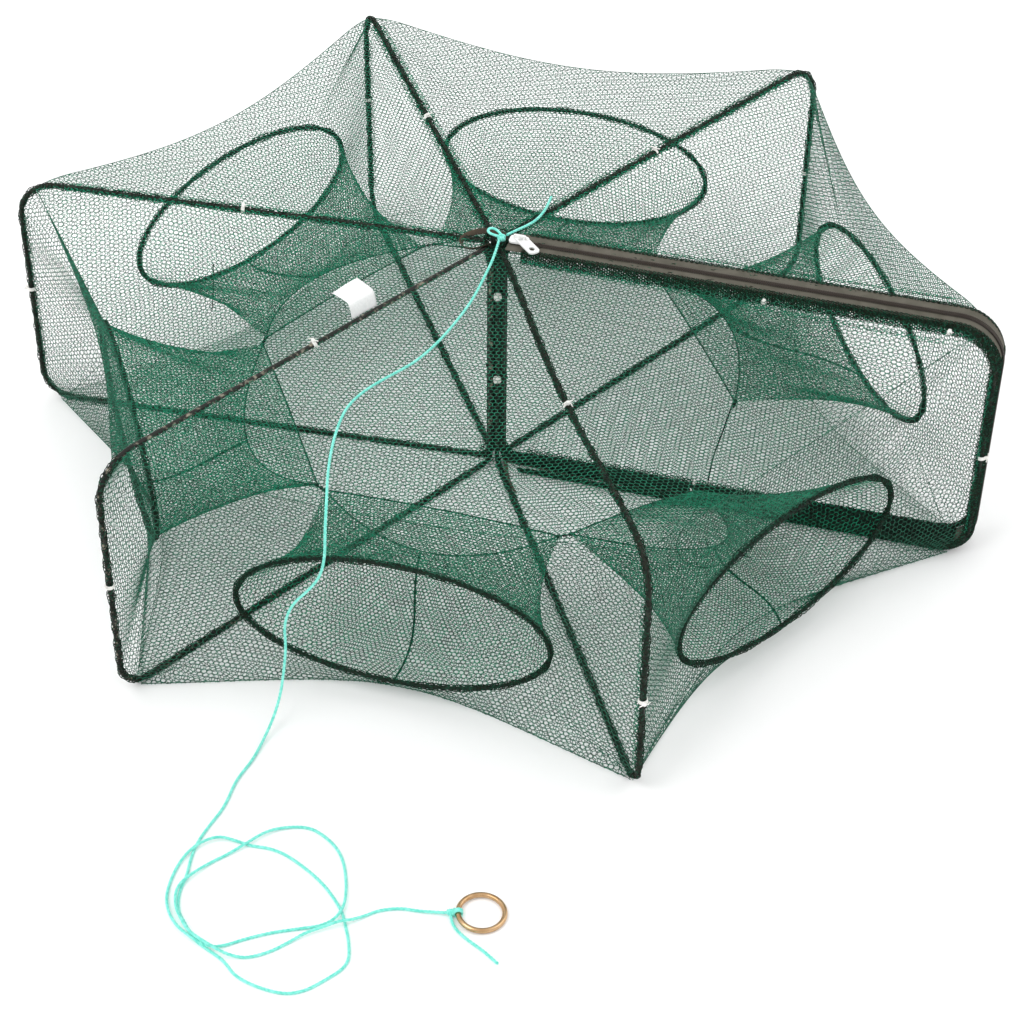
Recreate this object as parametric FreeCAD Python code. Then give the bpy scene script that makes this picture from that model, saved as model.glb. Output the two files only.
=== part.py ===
"""Folding crab trap: seven hinged wire pages, six hooped side entrances, a zip and a haul line.

The origin is the middle of the hub, on the floor. +X runs along the zip and +Z is up.
Lengths are in millimetres.
"""

import FreeCAD, Part
import math
import os

from FreeCAD import Vector

# Driving dimensions of the frame
REACH = 420.0  # hub axis to the centre line of an outer upright
TOP_WIRE_Z = 230.0  # centre line of the top arms
BOTTOM_WIRE_Z = 2.0  # centre line of the bottom arms
PAGE_WIRE = 4.0  # wire diameter
HUB_CORNER = 8.0  # bend radii of a page, on the centre line
TOP_CORNER = 36.0
BOTTOM_CORNER = 27.0
HUB_RING = 5.8  # hub axis to the inner bar of an ordinary page
ZIP_BAR = (7.2, 2.5)  # inner bar of a zip page, x and distance from the zip's centre line

ARM_SAG = {"f": 14.0}  # how far the middle of a bent top arm hangs below its ends
ARM_STEPS = 16

# The direction of each page, in degrees
PAGES = {"a": 1.6, "b": 61.4, "c": 123.4, "d": 183.7, "e": 241.4, "f": 301.1, "g": -1.6}

# Netting, as thin solids
NET = 0.6  # thickness
NET_GAP = 3.4  # a net's edge to the middle plane of a page
SEAM_GAP = 0.5  # a wall's edge to the roof or floor
ZIP_NET_EDGE = 16.6  # a net's edge to the middle of the zip
HUB_CLEAR = 26.0  # nets start this far from the hub axis
ROOF_CORNER = 386.0  # how far out the roof's corners reach along a page
FLOOR_CORNER = 392.0
WALL_BULGE = 414.0  # how far out a wall reaches halfway up a page
ROOF_Z = TOP_WIRE_Z + 0.6
ROOF_MID = 336.0  # the roof's edge halfway between two pages
ROOF_DIP = 25.0  # and how far that middle hangs down
FLOOR_MID = 302.0

# Entrances: each sector's pages, and its hoop's distance from the hub axis and height
SECTORS = {
    "ab": (346.0, 86.0),
    "bc": (317.0, 109.0),
    "cd": (315.0, 126.0),
    "de": (319.0, 105.0),
    "ef": (315.0, 80.0),
    "fg": (336.0, 84.0),
}
HOOP_HALF = (127.0, 61.0)  # half width and half height on the wire's centre line
HOOP_WIRE = 3.0
HOOP_GAP = 2.2  # nets to the hoop's centre line
# Each funnel ends in a slit between its two pages. The slit's corner on each page: distance out and height.
THROAT_CORNERS = {
    "a": (201.0, 99.0),
    "b": (200.0, 94.0),
    "c": (202.0, 93.0),
    "d": (202.0, 95.0),
    "e": (198.0, 85.0),
    "f": (209.0, 88.0),
    "g": (178.0, 20.0),
}
CORNER_GAP = 5.0  # slit's corner to the middle plane of its page
THROAT_OPEN = 9.0  # half height of the slit
DRAW_CORD = 1.0
DRAW_CORD_GAP = 1.5  # draw cord to the funnel's end
GUY_HEAD = (194.0, 95.0)  # the line that holds one corner down, along page a and height
GUY_FOOT = (183.0, 8.0)
GUY_SIDE = 7.0  # and its distance from the page's middle plane

# Zip
TAPE_EDGE = (0.3, 13.0)  # the tape's two edges, from the zip's centre line
TAPE = 0.8  # thickness
TAPE_GAP = 0.35  # tape to page wire
COIL_EDGE = (0.15, 2.9)
COIL = 1.4  # height
ZIP_START = 11.1  # x of both ends of the zip
ZIP_WIRE_Z = COIL + TAPE + TAPE_GAP + PAGE_WIRE / 2  # bottom arm of a zip page
STOP = (2.0, 4.0)  # length and width of the blocks that close the zip
SLIDER_AT = 11.5
SLIDER = (16.0, 10.4, 1.6)  # length, width and plate thickness
SLIDER_CORNER = 3.0
SLIDER_GAP = 0.3
FLANGE = (10.0, 1.2, 3.4)  # length, thickness and distance from the zip's centre line
BRIDGE = (10.0, 2.0, 4.2, 1.3)  # length, width, height and wall of the bridge that holds the tab
BRIDGE_AT = 3.0  # from the slider's end
BRIDGE_ROUND = 1.6
PIN_AT = 9.2  # the tab's cross bar, from the slider's end
TAB = (26.0, 9.8, 1.4)
TAB_TURN = -45.0  # the tab lies turned towards page g
TAB_CORNER = 3.6
TAB_PIN = 0.7  # half the width of the tab's cross bar
TAB_WINDOW = (7.5, 7.2)
TAB_HOLE = (2.2, 18.2, 19.8)  # half width, and the centres of its two round ends from the cross bar

# Ties: distance along the top arm and height on the outer upright
TIE_AT = {
    "a": (222.0, 108.0),
    "b": (191.0, 111.0),
    "c": (198.0, 128.0),
    "d": (212.0, 119.0),
    "e": (198.0, 114.0),
    "f": (207.0, 98.0),
    "g": (222.0, 108.0),
}
ZIP_TIES = (372.0, 172.0)  # more ties on a zip page: along its top arm and along its bottom arm
TIE = (3.1, 2.6)  # outer radius and width of a tie on an arm
HUB_TIE = (2.45, 3.0)  # and of one on an inner bar
TIE_BORE = 0.02  # a tie's clearance on the wire
TIE_UNDER_TAPE = 0.05  # and its clearance to the zip tape
HUB_TIE_HEIGHTS = (90.0, 177.0)
HUB_TIE_STEP = 4.0

# Fabric label: a ribbon sewn along page e that stands up and folds back over a roof
LABEL = (127.0, 27.0, 0.5)  # start along the page, width and thickness
LABEL_FOLD = [(3.6, 231.2), (6.6, 243.9), (25.5, 246.3)]  # its section: distance from the page and height

# Haul line
LINE = 2.4
COIL_HEIGHT = 6.4
RING_CENTRE = (137.0, -510.0)
RING = (17.0, 2.0)  # centre line radius and wire radius
KNOT_SIDE = math.radians(197.0)  # direction of the knot, seen from the ring's middle
RING_KNOT = (2.4, 4.6, 3.0)  # radius, length and start, from the ring's centre line
HUB_KNOT = (5.0, -2.0, 236.0)  # its middle
HUB_KNOT_BALL = 3.4
HUB_KNOT_TURN = (3.2, -0.6)  # radius of the turn of cord round it, and its height from the middle
LASHING = (3.3, 2.25, 5.0)  # outer and inner radius and width of the cord lashed round the ring

# The line's route from the knot on the hub, over a roof net and down to the floor
LINE_ROUTE = [
    (4, -6, 236),
    (6, -26, 234),
    (5, -52, 230.5),
    (4, -82, 228),
    (-1, -112, 225.5),
    (-8, -142, 223.5),
    (-17, -170, 223.5),
    (-31, -191, 222.5),
    (-44, -212, 221.5),
    (-51, -236, 221.5),
    (-50, -262, 220),
    (-46, -288, 218),
    (-40, -313, 216),
    (-33, -336, 212),
    (-29, -353, 198),
    (-29, -356, 175),
    (-34, -355, 153),
    (-46, -352, 133),
    (-60, -351, 115),
    (-67, -352, 94),
    (-66, -353, 72),
    (-68, -356, 48),
    (-70, -361, 27),
    (-73, -371, 10),
    (-75, -389, 2.6),
    (-76, -412, 1.3),
    (-80, -437, 1.3),
    (-80, -462, 1.3),
    (-84, -487, 1.3),
]
# The knot's loose end, lying along the roof
HUB_TAIL_ROUTE = [
    (8, 3, 236.5),
    (14, 13, 236.2),
    (20, 22, 235.8),
    (25, 33, 235.2),
    (27.5, 46, 234.7),
    (28, 60, 234.0),
    (27, 75, 232.8),
]
# From the loops on the floor to the ring, and the loose end past the ring's knot
LINE_END_ROUTE = [
    (44, -549, 1.3),
    (54, -540, 1.3),
    (64, -529, 1.3),
    (77, -522, 1.3),
    (94, -521, 1.5),
    (114, -517, 2.8),
]
RING_TAIL_ROUTE = [
    (116, -518, 3),
    (119, -525, 1.8),
    (127, -532, 1.3),
    (138, -538, 1.3),
    (149, -543, 1.3),
    (161, -551, 1.3),
]
# Outlines of the loose loops on the floor, outer and inner
LOOPS_OUTER = [
    (-58, -486),
    (-86, -500),
    (-97, -530),
    (-92, -564),
    (-74, -590),
    (-40, -611),
    (-8, -622),
    (20, -626),
    (44, -615),
    (67, -582),
    (60, -550),
    (46, -512),
    (32, -480),
    (8, -462),
    (-18, -461),
    (-40, -474),
]
LOOPS_INNER = [
    (-54, -510),
    (-20, -504),
    (8, -517),
    (26, -540),
    (-2, -556),
    (-30, -576),
    (-50, -580),
    (-66, -560),
    (-68, -532),
]


def direction(degrees):
    """Unit vector in the floor plane."""
    a = math.radians(degrees)
    return Vector(math.cos(a), math.sin(a), 0)


def bar(page):
    """Where a page's inner bar crosses the floor."""
    if page == "a":
        return Vector(ZIP_BAR[0], ZIP_BAR[1], 0)
    if page == "g":
        return Vector(ZIP_BAR[0], -ZIP_BAR[1], 0)
    return direction(PAGES[page]) * HUB_RING


def page_length(page):
    return REACH - bar(page).Length


def bottom_z(page):
    return ZIP_WIRE_Z if page in "ag" else BOTTOM_WIRE_Z


def on_page(page, along, z):
    """A point of a page's middle plane, at a distance from its inner bar."""
    return bar(page) + direction(PAGES[page]) * along + Vector(0, 0, z)


def corner_arc(corner, before, after, radius):
    """The tangent arc of a right-angled corner."""
    start = corner + (before - corner).normalize() * radius
    end = corner + (after - corner).normalize() * radius
    middle = corner + ((start - corner) + (end - corner)) * (1 - math.sqrt(0.5))
    return start, middle, end


def tube(path, radius):
    """A round bar swept along a wire."""
    first = path.OrderedEdges[0]
    start = first.valueAt(first.FirstParameter)
    along = first.tangentAt(first.FirstParameter)
    if first.Orientation == "Reversed":
        start = first.valueAt(first.LastParameter)
        along = first.tangentAt(first.LastParameter) * -1
    ring = Part.Wire([Part.makeCircle(radius, start, along)])
    return path.makePipeShell([ring], True, True)


def arm_drop(page, along):
    """How far a top arm lies below its ends."""
    start, end = HUB_CORNER, page_length(page) - TOP_CORNER
    share = min(max((along - start) / (end - start), 0), 1)
    return ARM_SAG.get(page, 0) * (1 - math.cos(2 * math.pi * share)) / 2


def bent_arm(page):
    """A top arm that sags, level at both ends."""
    start, end = HUB_CORNER, page_length(page) - TOP_CORNER
    stations = [start + (end - start) * k / ARM_STEPS for k in range(ARM_STEPS + 1)]
    points = [on_page(page, s, TOP_WIRE_Z - arm_drop(page, s)) for s in stations]
    out = direction(PAGES[page])
    curve = Part.BSplineCurve()
    curve.interpolate(Points=points, InitialTangent=out, FinalTangent=out)
    return curve.toShape()


def page_frame(page):
    """One closed rounded rectangle of wire."""
    long, low = page_length(page), bottom_z(page)
    corners = [on_page(page, s, z) for s, z in ((0, low), (0, TOP_WIRE_Z), (long, TOP_WIRE_Z), (long, low))]
    radii = [HUB_CORNER, HUB_CORNER, TOP_CORNER, BOTTOM_CORNER]
    arcs = [corner_arc(corners[i], corners[i - 1], corners[(i + 1) % 4], radii[i]) for i in range(4)]
    halfway = (arcs[3][2] + arcs[0][0]) * 0.5
    edges = [Part.LineSegment(halfway, arcs[0][0]).toShape()]
    for i, (start, middle, end) in enumerate(arcs):
        edges.append(Part.Arc(start, middle, end).toShape())
        after = arcs[i + 1][0] if i < 3 else halfway
        bent = i == 1 and page in ARM_SAG
        edges.append(bent_arm(page) if bent else Part.LineSegment(end, after).toShape())
    return tube(Part.Wire(edges), PAGE_WIRE / 2)


def band(centre, along, outer, inner, width):
    """A short sleeve round a wire."""
    base = centre - along * (width / 2)
    return Part.makeCylinder(outer, width, base, along).cut(Part.makeCylinder(inner, width, base, along))


def page_ties(page):
    """The ties on a page's arms and upright, and those that bundle its inner bar at the hub."""
    long, low = page_length(page), bottom_z(page)
    out, up = direction(PAGES[page]), Vector(0, 0, 1)
    bore = PAGE_WIRE / 2 + TIE_BORE
    outer = PAGE_WIRE / 2 + TAPE_GAP - TIE_UNDER_TAPE if page in "ag" else TIE[0]
    arm, upright = TIE_AT[page]
    slope = (arm_drop(page, arm + 1) - arm_drop(page, arm - 1)) / 2
    places = [(arm, TOP_WIRE_Z - arm_drop(page, arm), (out - up * slope).normalize())]
    places.append((long, upright, up))
    if page in "ag":
        places += [(ZIP_TIES[0], TOP_WIRE_Z, out), (ZIP_TIES[1], low, out)]
    ties = [band(on_page(page, s, z), along, outer, bore, TIE[1]) for s, z, along in places]
    lift = HUB_TIE_STEP * ("abcdefg".index(page) % 4)
    for height in HUB_TIE_HEIGHTS:
        ties.append(band(on_page(page, 0, height + lift), up, HUB_TIE[0], bore, HUB_TIE[1]))
    return Part.makeCompound(ties)


def net_edge(page, side, along, z):
    """A point where a net ends beside a page."""
    if page in "ag":
        return Vector(along, side * ZIP_NET_EDGE, z)
    out = direction(PAGES[page])
    return out * along + Vector(-out.y, out.x, 0) * (side * NET_GAP) + Vector(0, 0, z)


def gap(sector):
    return (PAGES[sector[1]] - PAGES[sector[0]]) % 360


def middle(sector):
    """The direction halfway between a sector's pages, in degrees."""
    return PAGES[sector[0]] + gap(sector) / 2


def line(a, b):
    return Part.LineSegment(a, b).toShape()


def bow(a, b, c):
    return Part.Arc(a, b, c).toShape()


def net_covers(sector):
    """A sector's roof, which dips between its pages, and its flat floor."""
    p, q = sector
    out = direction(middle(sector))
    inner = line(net_edge(p, 1, HUB_CLEAR, ROOF_Z), net_edge(q, -1, HUB_CLEAR, ROOF_Z))
    low_point = out * ROOF_MID + Vector(0, 0, ROOF_Z - ROOF_DIP)
    outer = bow(net_edge(p, 1, ROOF_CORNER, ROOF_Z), low_point, net_edge(q, -1, ROOF_CORNER, ROOF_Z))
    roof = Part.makeRuledSurface(inner, outer).extrude(Vector(0, 0, -NET))
    a, b = net_edge(p, 1, HUB_CLEAR, 0), net_edge(q, -1, HUB_CLEAR, 0)
    c, d = net_edge(q, -1, FLOOR_CORNER, 0), net_edge(p, 1, FLOOR_CORNER, 0)
    rim = Part.Wire([line(a, b), line(b, c), bow(c, out * FLOOR_MID, d), line(d, a)])
    floor = Part.Face(rim).extrude(Vector(0, 0, NET))
    return Part.makeCompound([roof, floor])


def oval(centre, across, up):
    """An oval from its middle and its two half axes."""
    return Part.Wire([Part.Ellipse(centre + across, centre + up, centre).toShape()])


def sideways(sector):
    out = direction(middle(sector))
    return Vector(-out.y, out.x, 0)


def hoop_oval(sector, grow=0.0):
    """An upright oval facing out of a sector, on the wire's centre line or outside it."""
    at, height = SECTORS[sector]
    centre = direction(middle(sector)) * at + Vector(0, 0, height)
    half = [h + grow for h in HOOP_HALF]
    return oval(centre, sideways(sector) * half[0], Vector(0, 0, half[1]))


def throat_corner(page, side):
    along, z = THROAT_CORNERS[page]
    out = direction(PAGES[page])
    return on_page(page, along, z) + Vector(-out.y, out.x, 0) * (side * CORNER_GAP)


def throat_oval(sector, grow=0.0, inwards=0.0):
    """The slit between a sector's two pages, as a flat oval."""
    a, b = throat_corner(sector[0], 1), throat_corner(sector[1], -1)
    half = (b - a) * 0.5
    across = Vector(half).normalize()
    up = (Vector(0, 0, 1) - across * across.z).normalize()
    centre = (a + b) * 0.5 - direction(middle(sector)) * inwards
    return oval(centre, half + across * grow, up * (THROAT_OPEN + grow))


def net_wall(sector):
    """The outer wall: four panels from the roof, the floor and both pages in to the hoop."""
    p, q = sector
    at, height = SECTORS[sector]
    out = direction(middle(sector))
    top, low = ROOF_Z - NET - SEAM_GAP, NET + SEAM_GAP
    tl, tr = net_edge(p, 1, ROOF_CORNER, top), net_edge(q, -1, ROOF_CORNER, top)
    bl, br = net_edge(p, 1, FLOOR_CORNER, low), net_edge(q, -1, FLOOR_CORNER, low)
    mid_z = (top + low) / 2
    rim = [
        bow(tl, out * ROOF_MID + Vector(0, 0, top - ROOF_DIP), tr),
        bow(tr, net_edge(q, -1, WALL_BULGE, mid_z), br),
        bow(br, out * FLOOR_MID + Vector(0, 0, low), bl),
        bow(bl, net_edge(p, 1, WALL_BULGE, mid_z), tl),
    ]
    half = [h + HOOP_GAP for h in HOOP_HALF]
    side = Vector(-out.y, out.x, 0)
    centre = out * at + Vector(0, 0, height)
    corner = math.sqrt(0.5)
    spots = [(-corner, corner), (corner, corner), (corner, -corner), (-corner, -corner)]
    tips = [(0, 1), (1, 0), (0, -1), (-1, 0)]

    def spot(u, v):
        return centre + side * (half[0] * u) + Vector(0, 0, half[1] * v)

    panels = []
    for i, edge in enumerate(rim):
        mouth = bow(spot(*spots[i]), spot(*tips[i]), spot(*spots[(i + 1) % 4]))
        panels.append(Part.makeRuledSurface(edge, mouth).extrude(out * NET))
    return Part.makeCompound(panels)


def hoop(sector):
    return tube(hoop_oval(sector), HOOP_WIRE / 2)


def funnel(sector):
    """A hollow net funnel from the hoop in to its slit."""

    def cone(shrink):
        ends = [hoop_oval(sector, -HOOP_GAP - shrink), throat_oval(sector, -shrink)]
        return Part.makeLoft(ends, True, True)

    return cone(0).cut(cone(NET))


def throat_cord(sector):
    """The draw cord round the slit, and beside the zip the line that holds a corner down."""
    cords = [tube(throat_oval(sector, 0, DRAW_CORD_GAP), DRAW_CORD / 2)]
    if sector[0] == "a":
        out = direction(PAGES["a"])
        aside = Vector(-out.y, out.x, 0) * GUY_SIDE
        foot = on_page("a", *GUY_FOOT) + aside
        run = on_page("a", *GUY_HEAD) + aside - foot
        cords.append(Part.makeCylinder(DRAW_CORD / 2, run.Length, foot, run))
    return Part.makeCompound(cords)


def zip_band(side, edges, inner, thickness):
    """A strip that follows the outside of the zip pages, top, end and bottom."""
    near, far = sorted(side * e for e in edges)
    x_out = REACH + inner
    top, low = TOP_WIRE_Z + inner, ZIP_WIRE_Z - inner

    def outline(grow):
        corners = [Vector(ZIP_START, near, top + grow), Vector(x_out + grow, near, top + grow)]
        corners += [Vector(x_out + grow, near, low - grow), Vector(ZIP_START, near, low - grow)]
        a = corner_arc(corners[1], corners[0], corners[2], TOP_CORNER + inner + grow)
        b = corner_arc(corners[2], corners[1], corners[3], BOTTOM_CORNER + inner + grow)
        return [line(corners[0], a[0]), bow(*a), line(a[2], b[0]), bow(*b), line(b[2], corners[3])]

    inside, outside = outline(0), outline(thickness)
    start = line(inside[0].Vertexes[0].Point, outside[0].Vertexes[0].Point)
    end = line(inside[-1].Vertexes[-1].Point, outside[-1].Vertexes[-1].Point)
    rim = Part.Wire(Part.__sortEdges__(inside + [end] + outside + [start]))
    return Part.Face(rim).extrude(Vector(0, far - near, 0))


def zip_tape(side):
    return zip_band(side, TAPE_EDGE, PAGE_WIRE / 2 + TAPE_GAP, TAPE)


def zip_coil(side):
    return zip_band(side, COIL_EDGE, PAGE_WIRE / 2 + TAPE_GAP + TAPE, COIL)


def coil_top():
    return TOP_WIRE_Z + PAGE_WIRE / 2 + TAPE_GAP + TAPE + COIL


def upright_edges(box):
    return [e for e in box.Edges if abs(e.tangentAt(e.FirstParameter).z) > 0.9]


def zip_stops():
    """The blocks that close both ends of the zip."""
    size = (*STOP, COIL + TAPE)
    x, y = ZIP_START - STOP[0] - 0.1, COIL_EDGE[0]
    top = Part.makeBox(*size, Vector(x, y, coil_top() - size[2]))
    return Part.makeCompound([top, Part.makeBox(*size, Vector(x, y, 0))])


def bridge_centre():
    """The middle of the pull tab's cross bar, under the slider's bridge."""
    _, _, high, wall = BRIDGE
    return Vector(SLIDER_AT + PIN_AT, 0, coil_top() + SLIDER_GAP + SLIDER[2] + (high - wall) / 2)


def zip_slider():
    """The slider's top plate with its guide flange and the bridge that holds the tab."""
    base = coil_top() + SLIDER_GAP
    long, wide, thick = SLIDER
    plate = Part.makeBox(long, wide, thick, Vector(SLIDER_AT, -wide / 2, base))
    plate = plate.makeFillet(SLIDER_CORNER, upright_edges(plate))
    run, lip, side = FLANGE
    flange = Part.makeBox(run, lip, COIL, Vector(SLIDER_AT + (long - run) / 2, side, base - COIL))
    span, across, high, wall = BRIDGE
    start, top = SLIDER_AT + BRIDGE_AT, base + thick
    arch = Part.makeBox(span, across, high, Vector(start, -across / 2, top))
    upper = [e for e in arch.Edges if e.BoundBox.ZMin > top + high / 2 and e.BoundBox.XLength < wall]
    arch = arch.makeFillet(BRIDGE_ROUND, upper)
    window = Part.makeBox(span - 2 * wall, wide, high - wall, Vector(start + wall, -wide / 2, top))
    return plate.fuse([flange, arch.cut(window)])


def pull_tab():
    """A flat tab with a window over the bridge and an oval hole near its tip."""
    long, wide, thick = TAB
    pin = bridge_centre()
    low = pin.z - thick / 2
    plate = Part.makeBox(long, wide, thick, Vector(pin.x - TAB_PIN, -wide / 2, low))
    tip = [e for e in upright_edges(plate) if e.BoundBox.XMin > pin.x]
    plate = plate.makeFillet(TAB_CORNER, tip)
    run, across = TAB_WINDOW
    window = Part.makeBox(run, across, thick, Vector(pin.x + TAB_PIN, -across / 2, low))
    half, first, last = TAB_HOLE
    ends = [Part.makeCylinder(half, thick, Vector(pin.x + at, 0, low)) for at in (first, last)]
    slot = Part.makeBox(last - first, 2 * half, thick, Vector(pin.x + first, -half, low))
    tab = plate.cut([window, slot, *ends])
    tab.rotate(pin, Vector(0, 0, 1), TAB_TURN)
    return tab


def label_tag():
    """A white ribbon that stands up beside page e and folds back over the roof."""
    start, wide, thick = LABEL
    out = direction(PAGES["e"])
    away = Vector(out.y, -out.x, 0)
    (foot, z0), (fold, z1), (tip, z2) = LABEL_FOLD
    section = [(foot, z0), (fold, z1), (tip, z2)]
    section += [(tip, z2 - thick), (fold + thick, z1 - thick), (foot + thick, z0)]
    corners = [on_page("e", start, z) + away * s for s, z in section]
    return Part.Face(Part.makePolygon(corners + corners[:1])).extrude(out * wide)


def cord_tube(name, points):
    """A cord's plain tube: straight runs and tangent arcs, each as large as its runs allow."""
    points = [Vector(*p) for p in points]
    edges, radii, at = [], [], points[0]
    for before, corner, after in zip(points, points[1:], points[2:]):
        back, ahead = before - corner, after - corner
        turn = math.pi - back.getAngle(ahead)
        reach = 0.45 * min(back.Length, ahead.Length)
        radii.append(reach / math.tan(turn / 2))
        start = corner + Vector(back).normalize() * reach
        end = corner + Vector(ahead).normalize() * reach
        bisector = (Vector(back).normalize() + Vector(ahead).normalize()).normalize()
        peak = corner + bisector * (radii[-1] / math.cos(turn / 2) - radii[-1])
        edges += [line(at, start), bow(start, peak, end)]
        at = end
    edges.append(line(at, points[-1]))
    path = Part.Wire(edges)
    solid = tube(path, LINE / 2)
    ideal = math.pi * LINE**2 / 4 * path.Length
    ratio = solid.Volume / ideal
    print(f"{name}: {path.Length:.0f} mm, least radius {min(radii):.1f}, volume ratio {ratio:.4f}")
    return solid


def loops_on_floor():
    """The outer shape of the loose loops."""

    def ring(points):
        curve = Part.BSplineCurve()
        curve.interpolate([Vector(x, y, 0) for x, y in points], True)
        return Part.Wire([curve.toShape()])

    outer, inner = Part.Face(ring(LOOPS_OUTER)), Part.Face(ring(LOOPS_INNER))
    return outer.cut(inner).Faces[0].extrude(Vector(0, 0, COIL_HEIGHT))


def haul_ring():
    """The ring lies on its lashing at one side and on the floor at the other."""
    ring = Part.makeTorus(RING[0], RING[1])
    out = Vector(math.cos(KNOT_SIDE), math.sin(KNOT_SIDE), 0)
    rise = LASHING[0] - RING[1]
    tilt = math.degrees(math.asin(rise / (2 * RING[0])))
    ring.rotate(Vector(0, 0, 0), Vector(-out.y, out.x, 0), -tilt)
    ring.translate(Vector(RING_CENTRE[0], RING_CENTRE[1], RING[1] + rise / 2))
    return ring


def ring_knot():
    """The cord lashed round the ring, with its knot outside."""
    out = Vector(math.cos(KNOT_SIDE), math.sin(KNOT_SIDE), 0)
    place = Vector(RING_CENTRE[0], RING_CENTRE[1], LASHING[0]) + out * RING[0]
    along = Vector(-out.y, out.x, 0)
    outer, inner, width = LASHING
    radius, long, start = RING_KNOT
    knot = Part.makeCylinder(radius, long, place + out * start, out)
    base = place - along * (width / 2)
    sleeve = Part.makeCylinder(outer, width, base, along).fuse(knot)
    return sleeve.cut(Part.makeCylinder(inner, width, base, along))


def hub_knot():
    """A ball of cord with one turn round it."""
    middle = Vector(*HUB_KNOT)
    radius, lift = HUB_KNOT_TURN
    turn = Part.makeTorus(radius, LINE / 2, middle + Vector(0, 0, lift))
    return Part.makeSphere(HUB_KNOT_BALL, middle).fuse(turn)


def haul_line_nodes():
    knot, loops, lashing = hub_knot(), loops_on_floor(), ring_knot()
    return {
        "hub_knot": knot,
        "floor_loops": loops,
        "ring_knot": lashing,
        "haul_ring": haul_ring(),
        "haul_line": cord_tube("haul line", LINE_ROUTE).cut(knot).cut(loops),
        "hub_tail": cord_tube("hub tail", HUB_TAIL_ROUTE).cut(knot),
        "line_end": cord_tube("line end", LINE_END_ROUTE).cut(loops).cut(lashing),
        "ring_tail": cord_tube("ring tail", RING_TAIL_ROUTE).cut(lashing),
    }


def model():
    nodes = {}
    for page in PAGES:
        nodes[f"frame_{page}"] = page_frame(page)
        nodes[f"ties_{page}"] = page_ties(page)
    for sector in SECTORS:
        nodes[f"net_covers_{sector}"] = net_covers(sector)
        nodes[f"net_wall_{sector}"] = net_wall(sector)
        nodes[f"hoop_{sector}"] = hoop(sector)
        nodes[f"funnel_{sector}"] = funnel(sector)
        nodes[f"throat_cord_{sector}"] = throat_cord(sector)
    for page, side in (("a", 1), ("g", -1)):
        nodes[f"zip_tape_{page}"] = zip_tape(side)
        nodes[f"zip_coil_{page}"] = zip_coil(side)
    nodes["zip_stops"] = zip_stops()
    nodes["zip_slider"] = zip_slider()
    nodes["zip_pull_tab"] = pull_tab()
    nodes["label_tag"] = label_tag()
    nodes.update(haul_line_nodes())
    return nodes


os.makedirs("parts", exist_ok=True)
for name, shape in model().items():
    solids = shape.Solids
    if not solids or not shape.isValid():
        raise ValueError(name)
    shape = solids[0] if len(solids) == 1 else Part.makeCompound(solids)
    shape.exportStep(f"parts/{name}.step")
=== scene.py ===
"""Looks of the folding crab trap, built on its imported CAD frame.

Everything is in the row frame: the hub stands at the origin, +X runs along the zip and +Z is up.
Shapes are worked out in millimetres and turned into metres when a mesh is made.
"""

import math

import bpy
import numpy as np
from mathutils import Matrix, Vector


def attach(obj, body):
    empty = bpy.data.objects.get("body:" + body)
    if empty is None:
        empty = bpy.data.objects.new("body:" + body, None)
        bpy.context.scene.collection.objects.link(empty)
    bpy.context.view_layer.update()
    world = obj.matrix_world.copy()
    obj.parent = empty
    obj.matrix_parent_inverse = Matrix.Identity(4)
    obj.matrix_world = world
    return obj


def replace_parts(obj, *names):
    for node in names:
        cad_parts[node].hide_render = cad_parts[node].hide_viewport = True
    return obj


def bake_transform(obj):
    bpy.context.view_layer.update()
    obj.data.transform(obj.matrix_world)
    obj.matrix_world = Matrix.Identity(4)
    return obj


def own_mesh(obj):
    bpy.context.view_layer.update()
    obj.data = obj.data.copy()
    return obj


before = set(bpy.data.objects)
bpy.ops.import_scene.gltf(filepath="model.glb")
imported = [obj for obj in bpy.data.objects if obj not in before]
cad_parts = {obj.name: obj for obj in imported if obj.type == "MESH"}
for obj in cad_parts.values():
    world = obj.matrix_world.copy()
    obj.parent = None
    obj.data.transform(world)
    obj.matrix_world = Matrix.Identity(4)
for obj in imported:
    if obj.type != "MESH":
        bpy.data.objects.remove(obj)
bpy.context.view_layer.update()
scene = bpy.context.scene
random = np.random.default_rng(7)
MM = 0.001
UP = np.array([0, 0, 1.0])

# Frame dimensions, as in the CAD model
PAGES = {"a": 1.6, "b": 61.4, "c": 123.4, "d": 183.7, "e": 241.4, "f": 301.1, "g": -1.6}
SECTORS = {
    "ab": (346.0, 86.0),
    "bc": (317.0, 109.0),
    "cd": (315.0, 126.0),
    "de": (319.0, 105.0),
    "ef": (315.0, 80.0),
    "fg": (336.0, 84.0),
}
REACH = 420.0
TOP_Z = 230.0
BOTTOM_Z = 2.0
ZIP_BOTTOM_Z = 4.55
TOP_CORNER = 36.0
BOTTOM_CORNER = 27.0
HUB_CORNER = 8.0
HUB_RING = 5.8
ZIP_BAR = (7.2, 2.5)
HOOP_HALF = (127.0, 61.0)
THROAT_CORNERS = {
    "a": (201.0, 99.0),
    "b": (200.0, 94.0),
    "c": (202.0, 93.0),
    "d": (202.0, 95.0),
    "e": (198.0, 85.0),
    "f": (209.0, 88.0),
    "g": (178.0, 16.0),
}
CORNER_GAP = 5.0
ARM_SAG = {"f": 14.0}
GUY_HEAD = (199.0, 97.0)
GUY_FOOT = (183.0, 8.0)
GUY_SIDE = 6.0
TIE_AT = {
    "a": (222.0, 108.0),
    "b": (191.0, 111.0),
    "c": (198.0, 128.0),
    "d": (212.0, 119.0),
    "e": (198.0, 114.0),
    "f": (207.0, 98.0),
    "g": (222.0, 108.0),
}
ZIP_TIES = (372.0, 172.0)
HUB_TIE_HEIGHTS = (90.0, 177.0)
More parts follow.
